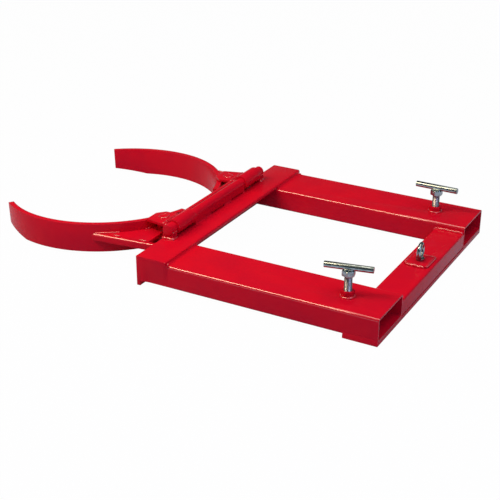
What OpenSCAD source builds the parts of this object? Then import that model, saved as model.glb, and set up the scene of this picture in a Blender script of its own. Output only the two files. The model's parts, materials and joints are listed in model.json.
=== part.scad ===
// Fork-mounted drum grab: two fork pockets in a welded frame, and a hinged
// carriage whose pair of curved jaws closes on a steel drum as its weight comes on.
// Millimetres. +Z is up, the jaws point along -X, and the pockets open along +X.
// The origin is under the middle of the whole grab, on the floor it rests on.
// Left and right are the driver's, looking forward over the jaws: left is -Y.

/* [Frame] */
// Length of the fork pockets
frame_l = 655; // [546:1:800]
// Width over both fork pockets
frame_w = 746; // [620:1:900]
// Outside width of one fork pocket
pocket_w = 150; // [120:1:180]
// Outside height of one fork pocket
pocket_h = 62; // [50:1:76]
// Wall of the fork pocket tube
pocket_wall = 5; // [3:0.5:7]
// Outside corner radius of the fork pocket tube
pocket_r = 7; // [5:0.5:12]
// Thickness of the plate under the rear of the pockets
plate_t = 10; // [6:1:14]
// Length of that plate along the pockets
plate_l = 90; // [70:1:120]
// Width of the rear cross tube, along the pockets
rear_tube_w = 84; // [60:1:100]
// Height of the rear cross tube
rear_tube_h = 45; // [36:1:56]
// Wall of the rear cross tube
rear_tube_wall = 5; // [3:0.5:6]

/* [Front angle] */
// Depth of the front angle's flange, lying on the pockets
angle_flange = 88; // [75:1:110]
// Thickness of the front angle
angle_t = 10; // [6:1:12]
// How far the front angle reaches past the pockets on each side
angle_over = 4; // [0:1:15]
// Radius on the flange's rear edge
angle_toe_r = 5; // [2:0.5:6]

/* [Hinge] */
// Outside diameter of the hinge axle
axle_d = 30; // [24:1:36]
// How far the axle stands out of the blocks that hold its ends
axle_proud = 1; // [0:0.5:6]
// Distance of the axle's centre behind the pockets' front ends
axle_x = 5; // [0:1:20]
// Wall of the rolled knuckles
knuckle_wall = 6; // [4:0.5:10]
// Length of one knuckle
knuckle_l = 85; // [60:1:110]
// How far the knuckles reach past the ends of the back plate
knuckle_over = 5; // [0:1:20]
// Gap between the knuckles and the flange under them
knuckle_lift = 3; // [1:0.5:8]
// Length of the block that holds each end of the axle
block_l = 24; // [16:1:34]
// Width of that block
block_w = 30; // [26:1:40]
// Height of that block
block_h = 18; // [12:1:24]
// Width of the packing strip under the middle of the axle
packing_w = 22; // [16:1:30]
// Gap at each end of a knuckle
knuckle_gap = 3; // [1:0.5:6]

/* [Carriage] */
// Gap between the knuckles and the back plate, which a web bridges
web_gap = 5; // [2:0.5:12]
// Thickness of the back plate
back_t = 10; // [6:1:16]
// How far the back plate reaches past each pivot pin
back_over = 46; // [36:1:60]
// Thickness of the four ears
ear_t = 8; // [6:1:12]
// Distance from a pivot pin to its ears' front edge
ear_nose = 34; // [24:1:45]
// Distance from a pivot pin to its ears' inner and outer edges
ear_side = 33; // [24:1:40]
// Bevel on the ears' inner front corner
ear_bevel = 20; // [0:1:30]
// Height of the ears' top above the axle's centre
ear_top = 1; // [-2:0.5:6]
// Gap between a jaw and the ears above and below it
jaw_gap = 1; // [0.5:0.1:3]

/* [Jaws] */
// Inside radius of the jaws
jaw_r = 297.5; // [248:0.5:320]
// Thickness of the jaws' flat bar
jaw_t = 16; // [12:1:20]
// Height of the jaws' flat bar
jaw_h = 80; // [70:1:90]
// Height left at the tapered tip
tip_h = 60; // [40:1:74]
// Distance of each jaw's centre from the middle of the grab
jaw_y = 3.5; // [0:0.5:10]
// Angle of the tip, from straight back
tip_angle = 126; // [115:0.5:135]
// Angle at which the taper starts
taper_angle = 107; // [90:0.5:114]
// Height of the start of each taper over the floor, as the jaws hang
jaw_clear = 4; // [0:0.5:12]
// Gap between the jaws' inner ends and the back plate
jaw_end_gap = 10; // [6:1:30]
// Diameter of the jaw pivot pins
pin_d = 25; // [18:1:30]
// Distance of the pivot pins from the middle of the grab
pin_y = 173; // [140:1:210]
// How far the pivot pins stand out of the upper ears
pin_proud = 2; // [0:0.5:6]
// Outside diameter of the barrels on the pins
barrel_d = 42; // [34:1:52]
// Gap between the barrels and the back plate
barrel_gap = 4; // [2:0.5:10]
// How deep the barrels are let into the jaws' outer faces
barrel_bite = 1.2; // [0.5:0.1:4]

/* [Jaw heels] */
// Depth of the heel plate's top below the jaw's top
gusset_drop = 25; // [15:1:40]
// Thickness of the heel plate
gusset_t = 8; // [5:1:12]
// Gap between the back plate and the heel plate's rear edge
gusset_gap = 14; // [10:1:24]
// Angle at which the heel bar leaves the jaw, from straight back
heel_root = 66; // [58:1:72]
// Angle between the heel bar and the grab's middle line
heel_splay = 2.3; // [0:0.1:6]
// Width of the heel bar
heel_w = 12; // [10:1:20]
// Height of the heel bar
heel_h = 20; // [12:1:26]
// Radius on the heel bar's outer top edge
heel_edge_r = 6; // [2:0.5:8]
// Gap between the heel bar's end and the front angle's face
heel_gap = 6; // [4:0.5:10]

/* [Clamp screws] */
// Nominal diameter of the clamp screws
screw_d = 20; // [16:1:24]
// Pitch of their thread
screw_pitch = 2.5; // [2:0.5:3]
// Distance of the clamp screws from the pockets' rear ends
screw_back = 112; // [100:1:150]
// Width across flats of the screw heads and of the welded nuts
hex_af = 30; // [26:1:34]
// Height of the welded nuts
nut_h = 16; // [12:1:20]
// Height of the screw heads
head_h = 14; // [11:1:18]
// Diameter of the tee bars
bar_d = 16; // [12:1:18]
// Length of the tee bars
bar_l = 120; // [90:1:150]
// Height of the left screw's head above its nut
left_lift = 39; // [37:0.5:40]
// Height of the right screw's head above its nut
right_lift = 34; // [30:0.5:40]
// Turn of the left tee bar from straight along the pocket
left_turn = 12; // [-90:1:90]
// Turn of the right tee bar from straight along the pocket
right_turn = -1; // [-90:1:90]
// Diameter of the pressure pads
pad_d = 38; // [30:1:44]
// Thickness of the pressure pads
pad_t = 10; // [8:1:12]

/* [Lifting eye] */
// Outside diameter of the eye
eye_d = 48; // [40:1:56]
// Thickness of the eye's round section
eye_bar_d = 11; // [8:0.5:12]
// Diameter of the eye's hole
eye_hole_d = 27; // [22:0.5:30]
// Diameter of the eye's collar
collar_d = 22; // [18:1:28]
// Height of the eye's collar
collar_h = 6; // [4:0.5:8]
// Diameter of the eye's shank
shank_d = 12; // [10:1:14]
// Turn of the eye from straight across
eye_turn = 5; // [-45:1:45]
// Length of the pad plate along the pockets
pad_plate_l = 57; // [40:1:66]
// Width of the pad plate across the grab
pad_plate_w = 70; // [50:1:120]
// Thickness of the pad plate
pad_plate_t = 5; // [3:0.5:8]

/* [Fits] */
// Radial clearance of every pin and screw that turns
run_fit = 0.05; // [0.02:0.01:0.1]
// Radial clearance of the screws in the pocket walls
wall_fit = 1; // [0.5:0.1:2]

/* [Hidden] */
$fn = 96;
LEFT = -1;
RIGHT = 1;
RED = [0.80, 0.06, 0.12];
ZINC = [0.72, 0.74, 0.76];

// Heights in the frame
knuckle_d = axle_d + 2 * (run_fit + knuckle_wall);
pocket_top = plate_t + pocket_h;
flange_top = pocket_top + angle_t;
rear_tube_top = plate_t + rear_tube_h;
pocket_y = (frame_w - pocket_w) / 2;
inner_w = frame_w - 2 * pocket_w;
axle_lift = knuckle_d / 2 + knuckle_lift;
axle_z = flange_top + axle_lift;

// Lengths along the hinge
back_w = 2 * (pin_y + back_over);
knuckle_out = back_w / 2 + knuckle_over;
knuckle_in = knuckle_out - knuckle_l;
block_out = knuckle_out + knuckle_gap + block_l;
axle_l = 2 * (block_out + axle_proud);
packing_l = 2 * (knuckle_in - knuckle_gap);
groove = 1;

// Heights on the carriage, from the axle's centre
jaw_top = ear_top - ear_t - jaw_gap;
jaw_bottom = jaw_top - jaw_h;
lower_ear_top = jaw_bottom - jaw_gap;
back_bottom = lower_ear_top - ear_t;

// Distances in front of the axle: the back plate, the pivot pins and the jaws' centres
back_gap = knuckle_d / 2 + web_gap;
back_front = -back_gap - back_t;
pin_x = -back_front + barrel_gap + barrel_d / 2;
jaw_out = jaw_r + jaw_t;
pin_reach = jaw_out + barrel_d / 2 - barrel_bite;
jaw_x = pin_x + sqrt(pin_reach * pin_reach - (pin_y - jaw_y) * (pin_y - jaw_y));
heel_angle = acos((jaw_x + back_front - jaw_end_gap) / jaw_out);

// The jaws hang with the start of each taper just over the floor
reach_x = jaw_x - jaw_out * cos(taper_angle);
reach = sqrt(reach_x * reach_x + jaw_bottom * jaw_bottom);
nose_down = asin((axle_z - jaw_clear) / reach) - atan(-jaw_bottom / reach_x);

// The whole grab's ends, and the shift that puts the origin under its middle
tip_x = -jaw_x + jaw_out * cos(tip_angle);
front_end = axle_x + tip_x * cos(nose_down) - jaw_top * sin(nose_down);
mid_x = (front_end + frame_l) / 2;

// Heights of the clamp screws: both are as long as the higher one needs
nut_top = pocket_top + nut_h;
ceiling = pocket_top - pocket_wall;
pad_gap = 1;
stem_l = nut_top + max(left_lift, right_lift) - ceiling + pad_gap;
tip_l = 6;
tip_d = 12;

// A drawing of the frame, with X measured from the pockets' front ends
module on_frame() {
    translate([-mid_x, 0, 0]) children();
}

// A drawing of the carriage, with X and Z measured from the axle's centre
module on_carriage() {
    on_frame() translate([axle_x, 0, axle_z]) rotate([0, -nose_down, 0]) children();
}

// A rectangle about the origin with true round corners
module round_rect(w, h, r) {
    square([w - 2 * r, h], center = true);
    square([w, h - 2 * r], center = true);
    for (x = [-1, 1], y = [-1, 1])
        translate([x * (w / 2 - r), y * (h / 2 - r)]) circle(r);
}

// An outline drawn in Y and Z, pushed out along +X
module along_x(l) {
    rotate([90, 0, 90]) linear_extrude(l) children();
}

// An outline drawn in X and Z, pushed out along Y about the middle
module along_y(l) {
    rotate([90, 0, 0]) linear_extrude(l, center = true) children();
}

// A cylinder along Y about the middle
module rod_y(d, l) {
    rotate([90, 0, 0]) cylinder(d = d, h = l, center = true);
}

// A cylinder on each jaw pivot, between two heights on the carriage
module at_pin(side, d, low, high) {
    translate([-pin_x, side * pin_y, low]) cylinder(d = d, h = high - low);
}

// The round body of a jaw's outer face, for cutting what is welded to it
module jaw_round(side) {
    translate([-jaw_x, side * jaw_y, jaw_bottom - 1]) cylinder(r = jaw_out, h = jaw_h + 2, $fn = 240);
}

module fork_pocket(side) {
    color(RED) on_frame() difference() {
        translate([0, side * pocket_y, plate_t + pocket_h / 2]) along_x(frame_l) difference() {
            round_rect(pocket_w, pocket_h, pocket_r);
            round_rect(pocket_w - 2 * pocket_wall, pocket_h - 2 * pocket_wall, pocket_r - pocket_wall / 2);
        }
        translate([frame_l - screw_back, side * pocket_y, ceiling - 1])
            cylinder(d = screw_d + 2 * wall_fit, h = pocket_wall + 2);
    }
}

module left_fork_pocket() { fork_pocket(LEFT); }

module right_fork_pocket() { fork_pocket(RIGHT); }

// An angle with one leg in front of the pockets and one lying on them
module front_angle() {
    color(RED) on_frame() along_y(frame_w + 2 * angle_over) {
        translate([-angle_t, 0]) square([angle_t, flange_top]);
        translate([-angle_t, pocket_top]) square([angle_flange - angle_toe_r, angle_t]);
        translate([-angle_t, pocket_top]) square([angle_flange, angle_t - angle_toe_r]);
        translate([angle_flange - angle_t - angle_toe_r, flange_top - angle_toe_r]) circle(angle_toe_r);
    }
}

module rear_plate() {
    color(RED) on_frame() translate([frame_l - plate_l, -frame_w / 2, 0]) cube([plate_l, frame_w, plate_t]);
}

module rear_cross_tube() {
    color(RED) on_frame() difference() {
        translate([frame_l - rear_tube_w / 2, 0, plate_t + rear_tube_h / 2]) along_y(inner_w) difference() {
            round_rect(rear_tube_w, rear_tube_h, rear_tube_wall);
            square([rear_tube_w - 2 * rear_tube_wall, rear_tube_h - 2 * rear_tube_wall], center = true);
        }
        translate([frame_l - rear_tube_w / 2, 0, rear_tube_top - rear_tube_wall - 1])
            cylinder(d = shank_d, h = rear_tube_wall + 2);
    }
}

module hinge_axle() {
    color(RED) on_frame() translate([axle_x, 0, axle_z]) rod_y(axle_d, axle_l);
}

// A strip under the middle of the axle, with a shallow groove for it
module axle_packing() {
    color(RED) on_frame() difference() {
        translate([axle_x - packing_w / 2, -packing_l / 2, flange_top])
            cube([packing_w, packing_l, axle_lift - axle_d / 2 + groove]);
        translate([axle_x, 0, axle_z]) rod_y(axle_d, axle_l);
    }
}

module axle_block(side) {
    color(RED) on_frame() difference() {
        translate([axle_x - block_w / 2, side * (block_out - block_l / 2) - block_l / 2, flange_top])
            cube([block_w, block_l, block_h]);
        translate([axle_x, 0, axle_z]) rod_y(axle_d, axle_l);
    }
}

module left_axle_block() { axle_block(LEFT); }

module right_axle_block() { axle_block(RIGHT); }

module screw_nut(side) {
    color(RED) on_frame() translate([frame_l - screw_back, side * pocket_y, pocket_top]) difference() {
        rotate([0, 0, 30]) cylinder(d = hex_af / cos(30), h = nut_h, $fn = 6);
        translate([0, 0, -1]) cylinder(d = screw_d + 2 * run_fit, h = nut_h + 2);
    }
}

module left_screw_nut() { screw_nut(LEFT); }

module right_screw_nut() { screw_nut(RIGHT); }

// Puts a drawing on a clamp screw, with Z measured from under its head
module on_screw(side, lift, turn) {
    on_frame() translate([frame_l - screw_back, side * pocket_y, nut_top + lift])
        rotate([0, 0, turn]) children();
}

// A tee bar lying in a shallow saddle across the screw's head
module tee_bar_shape() {
    translate([0, 0, head_h + bar_d / 2 - groove]) rotate([0, 90, 0])
        cylinder(d = bar_d, h = bar_l, center = true);
}

module clamp_screw(side, lift, turn) {
    color(ZINC) on_screw(side, lift, turn) difference() {
        union() {
            cylinder(d = hex_af / cos(30), h = head_h, $fn = 6);
            translate([0, 0, -stem_l]) cylinder(d = screw_d, h = stem_l + 1);
            translate([0, 0, -stem_l - tip_l + pad_gap]) cylinder(d = tip_d, h = tip_l);
        }
        tee_bar_shape();
    }
}

module tee_bar(side, lift, turn) {
    color(ZINC) on_screw(side, lift, turn) tee_bar_shape();
}

// A swivelling pad on the screw's end, which grips the fork inside the pocket
module pressure_pad(side, lift) {
    color(ZINC) on_screw(side, lift, 0) translate([0, 0, -stem_l - pad_t - run_fit]) difference() {
        cylinder(d = pad_d, h = pad_t);
        translate([0, 0, pad_t - tip_l]) cylinder(d = tip_d + 2 * run_fit, h = tip_l + 1);
    }
}

module left_clamp_screw() { clamp_screw(LEFT, left_lift, left_turn); }

module left_tee_bar() { tee_bar(LEFT, left_lift, left_turn); }

module left_pressure_pad() { pressure_pad(LEFT, left_lift); }

module right_clamp_screw() { clamp_screw(RIGHT, right_lift, right_turn); }

module right_tee_bar() { tee_bar(RIGHT, right_lift, right_turn); }

module right_pressure_pad() { pressure_pad(RIGHT, right_lift); }

// Puts a drawing on the middle of the cross tube's top
module on_rear_tube() {
    on_frame() translate([frame_l - rear_tube_w / 2, 0, rear_tube_top]) children();
}

module eye_pad_plate() {
    color(RED) on_rear_tube() difference() {
        translate([-pad_plate_l / 2, -pad_plate_w / 2, 0]) cube([pad_plate_l, pad_plate_w, pad_plate_t]);
        translate([0, 0, -1]) cylinder(d = shank_d, h = pad_plate_t + 2);
    }
}

module lifting_eye() {
    color(ZINC) on_rear_tube() rotate([0, 0, eye_turn]) union() {
        translate([0, 0, pad_plate_t + collar_h - eye_bar_d / 2 + eye_d / 2]) rotate([0, 90, 0])
            difference() {
                rotate_extrude() translate([(eye_d - eye_bar_d) / 2, 0]) circle(d = eye_bar_d);
                cylinder(d = eye_hole_d, h = eye_bar_d + 2, center = true);
            }
        difference() {
            translate([0, 0, -rear_tube_wall]) cylinder(d = shank_d, h = pad_plate_t + rear_tube_wall + 1);
            translate([0, 0, pad_plate_t + 0.5]) cylinder(d = shank_d + 2, h = 1);
        }
        translate([0, 0, pad_plate_t]) cylinder(d = collar_d, h = collar_h);
    }
}

module carriage_back_plate() {
    color(RED) on_carriage() translate([back_front, -back_w / 2, back_bottom])
        cube([back_t, back_w, ear_top - back_bottom]);
}

// A rolled knuckle on the axle, with the web that joins it to the back plate
module knuckle(side) {
    color(RED) on_carriage() translate([0, side * (knuckle_out + knuckle_in) / 2, 0]) difference() {
        union() {
            rod_y(knuckle_d, knuckle_l);
            translate([-back_gap, -knuckle_l / 2, ear_top - back_t]) cube([back_gap, knuckle_l, back_t]);
        }
        rod_y(axle_d + 2 * run_fit, knuckle_l + 2);
    }
}

module left_knuckle() { knuckle(LEFT); }

module right_knuckle() { knuckle(RIGHT); }

// An ear's outline for the right side, which flares to the full width of the back plate
ear_outline = [
    [back_front, pin_y - ear_side],
    [-pin_x - ear_nose + ear_bevel, pin_y - ear_side],
    [-pin_x - ear_nose, pin_y - ear_side + ear_bevel],
    [-pin_x - ear_nose, pin_y + ear_side],
    [back_front, back_w / 2]
];

module ear(side, low) {
    color(RED) on_carriage() difference() {
        translate([0, 0, low]) linear_extrude(ear_t)
            mirror([0, side == LEFT ? 1 : 0, 0]) polygon(ear_outline);
        at_pin(side, pin_d, low - 1, low + ear_t + 1);
    }
}

module left_upper_ear() { ear(LEFT, ear_top - ear_t); }

module left_lower_ear() { ear(LEFT, back_bottom); }

module right_upper_ear() { ear(RIGHT, ear_top - ear_t); }

module right_lower_ear() { ear(RIGHT, back_bottom); }

module pivot_pin(side) {
    color(RED) on_carriage() at_pin(side, pin_d, back_bottom, ear_top + pin_proud);
}

module left_pivot_pin() { pivot_pin(LEFT); }

module right_pivot_pin() { pivot_pin(RIGHT); }

// The wedge under a jaw's tip that tapers it, hinged at the start of the taper
module tip_taper() {
    spread = tip_angle - taper_angle;
    chord = 2 * jaw_out * sin(spread / 2);
    rise = atan((jaw_h - tip_h) / chord);
    rotate([0, 0, taper_angle]) translate([jaw_out, 0, 0]) rotate([0, 0, 90 + spread / 2])
        rotate([0, -rise, 0]) translate([0, -jaw_out / 2, -jaw_h]) cube([2 * chord, jaw_out, jaw_h]);
}

// A curved flat bar, welded to the barrel on its pivot pin
module jaw(side) {
    color(RED) on_carriage() difference() {
        mirror([0, side == LEFT ? 1 : 0, 0]) translate([-jaw_x, jaw_y, jaw_bottom]) difference() {
            rotate([0, 0, heel_angle]) rotate_extrude(angle = tip_angle - heel_angle, $fn = 240)
                translate([jaw_r, 0]) square([jaw_t, jaw_h]);
            tip_taper();
        }
        at_pin(side, barrel_d, jaw_bottom - 1, jaw_top + 1);
    }
}

module left_jaw() { jaw(LEFT); }

module right_jaw() { jaw(RIGHT); }

module barrel(side) {
    color(RED) on_carriage() difference() {
        at_pin(side, barrel_d, jaw_bottom, jaw_top);
        at_pin(side, pin_d + 2 * run_fit, jaw_bottom - 1, jaw_top + 1);
    }
}

module left_barrel() { barrel(LEFT); }

module right_barrel() { barrel(RIGHT); }

// Distance of the heel bar's outer face from the middle of the grab, at a distance in front
function heel_y(x) = jaw_y + jaw_out * sin(heel_root)
    - (x + jaw_x - jaw_out * cos(heel_root)) * tan(heel_splay);

gusset_top = jaw_top - gusset_drop;
gusset_rear = back_front - gusset_gap;
heel_rear = -axle_x - angle_t - heel_gap;
heel_across = heel_w / cos(heel_splay);

// A plate that braces the jaw behind its barrel and carries the heel bar
module heel_plate(side) {
    outline = [
        [gusset_rear, heel_y(gusset_rear) - heel_across],
        [gusset_rear, pin_y],
        [-jaw_x, pin_y],
        [-jaw_x, heel_y(-jaw_x) - heel_across]
    ];
    color(RED) on_carriage() difference() {
        translate([0, 0, gusset_top - gusset_t]) linear_extrude(gusset_t)
            mirror([0, side == LEFT ? 1 : 0, 0]) polygon(outline);
        jaw_round(side);
        at_pin(side, barrel_d, jaw_bottom, jaw_top);
    }
}

module left_heel_plate() { heel_plate(LEFT); }

module right_heel_plate() { heel_plate(RIGHT); }

// A bar along the heel plate's outer edge, which bears on the front angle
module heel_bar(side) {
    color(RED) on_carriage() difference() {
        mirror([0, side == LEFT ? 1 : 0, 0])
            translate([-jaw_x, heel_y(-jaw_x), gusset_top - heel_h]) rotate([0, 0, -heel_splay])
            translate([0, -heel_w, 0]) along_x((jaw_x + heel_rear) / cos(heel_splay)) {
                square([heel_w - heel_edge_r, heel_h]);
                square([heel_w, heel_h - heel_edge_r]);
                translate([heel_w - heel_edge_r, heel_h - heel_edge_r]) circle(heel_edge_r);
            }
        jaw_round(side);
    }
}

module left_heel_bar() { heel_bar(LEFT); }

module right_heel_bar() { heel_bar(RIGHT); }

left_fork_pocket();
right_fork_pocket();
front_angle();
rear_plate();
rear_cross_tube();
hinge_axle();
axle_packing();
left_axle_block();
right_axle_block();
left_screw_nut();
right_screw_nut();
eye_pad_plate();
lifting_eye();
left_clamp_screw();
left_tee_bar();
left_pressure_pad();
right_clamp_screw();
right_tee_bar();
right_pressure_pad();
carriage_back_plate();
left_knuckle();
right_knuckle();
left_upper_ear();
left_lower_ear();
right_upper_ear();
right_lower_ear();
left_pivot_pin();
right_pivot_pin();
left_jaw();
left_barrel();
left_heel_plate();
left_heel_bar();
right_jaw();
right_barrel();
right_heel_plate();
right_heel_bar();
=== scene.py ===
"""The looks of a fork-mounted drum grab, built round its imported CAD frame.

Each sub-assembly is a class that finishes its own pieces: it takes the plain machined shape of each piece
from the frame, eases its edges as a grinder and a coat of enamel leave them, and adds the weld beads, threads
and stitches that hold the real grab together. Lengths are metres, in the frame's own axes: the jaws point
along -X, the fork pockets open along +X, and +Z is up.
"""

import json
import logging
import math
import random
from collections.abc import Sequence
from dataclasses import dataclass, field
from enum import Enum

import bmesh
import bpy
from mathutils import Matrix, Vector


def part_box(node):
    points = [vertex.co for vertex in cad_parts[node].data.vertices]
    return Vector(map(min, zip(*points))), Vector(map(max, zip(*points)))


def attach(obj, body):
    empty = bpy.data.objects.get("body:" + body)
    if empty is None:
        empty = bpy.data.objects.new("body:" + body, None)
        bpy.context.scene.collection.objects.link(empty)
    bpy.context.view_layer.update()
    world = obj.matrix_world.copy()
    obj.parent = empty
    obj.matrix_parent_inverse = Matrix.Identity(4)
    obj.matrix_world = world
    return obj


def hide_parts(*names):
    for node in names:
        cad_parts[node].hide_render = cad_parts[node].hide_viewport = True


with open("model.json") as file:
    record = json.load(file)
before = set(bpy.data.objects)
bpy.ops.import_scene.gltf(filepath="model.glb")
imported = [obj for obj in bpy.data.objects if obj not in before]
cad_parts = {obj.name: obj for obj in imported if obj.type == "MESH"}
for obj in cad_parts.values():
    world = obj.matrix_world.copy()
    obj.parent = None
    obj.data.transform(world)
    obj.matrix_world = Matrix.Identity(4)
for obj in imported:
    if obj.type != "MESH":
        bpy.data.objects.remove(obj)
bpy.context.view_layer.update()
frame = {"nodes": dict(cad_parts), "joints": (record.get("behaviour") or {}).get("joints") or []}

log = logging.getLogger("drum_grab")
MM = 0.001
FILLET_BITE_MM = 1.2
FILLET_STEPS = 10
WELD_ANGLE = 60.0


class Side(Enum):
    """A side of the grab, as its driver names it, with the sign of Y there."""

    LEFT = -1
    RIGHT = 1

    @property
    def word(self) -> str:
        """The side's name in lower case, as node names have it."""
        return self.name.lower()


class Slot(Enum):
    """The record's material slots."""

    ENAMEL = "red_enamel"
    ZINC = "zinc_steel"


# ---------------------------------------------------------------- materials


def linear(hex_colour: str) -> tuple[float, float, float, float]:
    """Turns an sRGB hex colour into linear RGBA.

    Args:
        hex_colour: Six hex digits after a hash, such as "#C8102E".

    Returns:
        Red, green, blue and an alpha of 1.
    """
    channels = [int(hex_colour[i:i + 2], 16) / 255 for i in (1, 3, 5)]
    red, green, blue = (c / 12.92 if c <= 0.04045 else ((c + 0.055) / 1.055) ** 2.4 for c in channels)
    return red, green, blue, 1.0


def add_node(tree: bpy.types.NodeTree, kind: str, settings: dict | None = None,
             links: dict | None = None) -> bpy.types.Node:
    """Adds a node with its settings and incoming links.

    Args:
        tree: The node tree that gets the node.
        kind: The node's type, such as "ShaderNodeTexNoise".
        settings: Values by socket name or index, or by attribute name.
        links: Output sockets by the name or index of the input that each one feeds.

    Returns:
        The new node.
    """
    node = tree.nodes.new(kind)
    for key, value in (settings or {}).items():
        if isinstance(key, str) and hasattr(node, key):
            setattr(node, key, value)
        else:
            node.inputs[key].default_value = value
    for key, socket in (links or {}).items():
        tree.links.new(socket, node.inputs[key])
    return node


def new_material(name: str) -> tuple[bpy.types.Material, bpy.types.NodeTree]:
    """Makes an empty node material.

    Args:
        name: The material's name.

    Returns:
        The material and its emptied node tree.
    """
    material = bpy.data.materials.new(name)
    material.use_nodes = True
    material.node_tree.nodes.clear()
    return material, material.node_tree


def set_ramp(node: bpy.types.Node, stops: Sequence[tuple[float, tuple[float, float, float, float]]]) -> None:
    """Sets a colour ramp's stops.

    Args:
        node: A colour ramp node.
        stops: Position and colour of each stop, from low to high.
    """
    elements = node.color_ramp.elements
    while len(elements) > len(stops):
        elements.remove(elements[-1])
    for i, (position, colour) in enumerate(stops):
        element = elements[i] if i < len(elements) else elements.new(position)
        element.position, element.color = position, colour


def grey(value: float) -> tuple[float, float, float, float]:
    """An opaque grey of one linear value."""
    return value, value, value, 1.0


@dataclass(frozen=True)
class GlossEnamel:
    """Sprayed gloss enamel over mild steel: a smooth saturated coat whose peel shows as a faint ripple.

    Attributes:
        name: The material's name.
        colour: The paint's main colour.
        deep: Its colour where the coat is thicker.
        roughness: Roughness of the coat.
        gloss: Specular level of the coat.
        wet: Weight of a second, clearer reflection where the coat lies thick.
        peel_mm: Spacing of the orange peel.
        peel_depth: Height of the peel, in metres.
        flow_mm: Spacing of the slow waves that the spray and the rolled steel leave.
    """

    name: str = "gloss_red_enamel"
    colour: str = "#D40D28"
    deep: str = "#CA0C2A"
    roughness: float = 0.22
    gloss: float = 0.08
    wet: float = 0.0
    peel_mm: float = 7.0
    peel_depth: float = 0.00003
    flow_mm: float = 90.0

    def build(self) -> bpy.types.Material:
        """Makes the material."""
        material, tree = new_material(self.name)
        place = add_node(tree, "ShaderNodeTexCoord").outputs["Object"]
        flow = add_node(tree, "ShaderNodeTexNoise", {"Scale": 1 / (self.flow_mm * MM), "Detail": 3.0,
                                                     "Roughness": 0.55}, {"Vector": place})
        tone = add_node(tree, "ShaderNodeValToRGB", links={"Fac": flow.outputs["Fac"]})
        set_ramp(tone, [(0.35, linear(self.deep)), (0.65, linear(self.colour))])
        peel = add_node(tree, "ShaderNodeTexNoise", {"Scale": 1 / (self.peel_mm * MM), "Detail": 2.0},
                        {"Vector": place})
        bump = add_node(tree, "ShaderNodeBump", {"Strength": 0.5, "Distance": self.peel_depth},
                        {"Height": peel.outputs["Fac"]})
        sheen = add_node(tree, "ShaderNodeMapRange", {"From Min": 0.3, "From Max": 0.7,
                                                      "To Min": self.roughness * 0.85,
                                                      "To Max": self.roughness * 1.15},
                         {"Value": flow.outputs["Fac"]})
        paint = add_node(tree, "ShaderNodeBsdfPrincipled",
                         {"Specular IOR Level": self.gloss, "Coat Weight": self.wet,
                          "Coat Roughness": self.roughness},
                         {"Base Color": tone.outputs["Color"], "Roughness": sheen.outputs["Result"],
                          "Normal": bump.outputs["Normal"]})
        add_node(tree, "ShaderNodeOutputMaterial", links={"Surface": paint.outputs["BSDF"]})
        return material


@dataclass(frozen=True)
class BrightZinc:
    """Bright zinc plate on turned steel: a cool silver mirror, softened by fine turning marks.

    Attributes:
        name: The material's name.
        colour: Colour of the plate.
        dull: Colour where the plate has begun to dull.
        roughness: Roughness of the plate.
        mark_mm: Spacing of the turning marks, drawn coarser than the real 0.2 mm so that they show.
        patch_mm: Size of the duller patches.
    """

    name: str = "bright_zinc"
    colour: str = "#A3B4B4"
    dull: str = "#6C7E7E"
    roughness: float = 0.2
    mark_mm: float = 1.2
    patch_mm: float = 14.0

    def build(self) -> bpy.types.Material:
        """Makes the material."""
        material, tree = new_material(self.name)
        place = add_node(tree, "ShaderNodeTexCoord").outputs["Object"]
        patch = add_node(tree, "ShaderNodeTexNoise", {"Scale": 1 / (self.patch_mm * MM), "Detail": 4.0,
                                                      "Roughness": 0.6}, {"Vector": place})
        tone = add_node(tree, "ShaderNodeValToRGB", links={"Fac": patch.outputs["Fac"]})
        set_ramp(tone, [(0.30, linear(self.dull)), (0.55, linear(self.colour))])
        marks = add_node(tree, "ShaderNodeTexNoise", {"Scale": 1 / (self.mark_mm * MM), "Detail": 2.0},
                         {"Vector": place})
        bump = add_node(tree, "ShaderNodeBump", {"Strength": 0.05, "Distance": 0.00001},
                        {"Height": marks.outputs["Fac"]})
        blur = add_node(tree, "ShaderNodeMapRange", {"From Min": 0.3, "From Max": 0.7,
                                                     "To Min": self.roughness * 1.4,
                                                     "To Max": self.roughness * 0.7},
                        {"Value": patch.outputs["Fac"]})
        plate = add_node(tree, "ShaderNodeBsdfPrincipled", {"Metallic": 1.0},
                         {"Base Color": tone.outputs["Color"], "Roughness": blur.outputs["Result"],
                          "Normal": bump.outputs["Normal"]})
        add_node(tree, "ShaderNodeOutputMaterial", links={"Surface": plate.outputs["BSDF"]})
        return material


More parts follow.
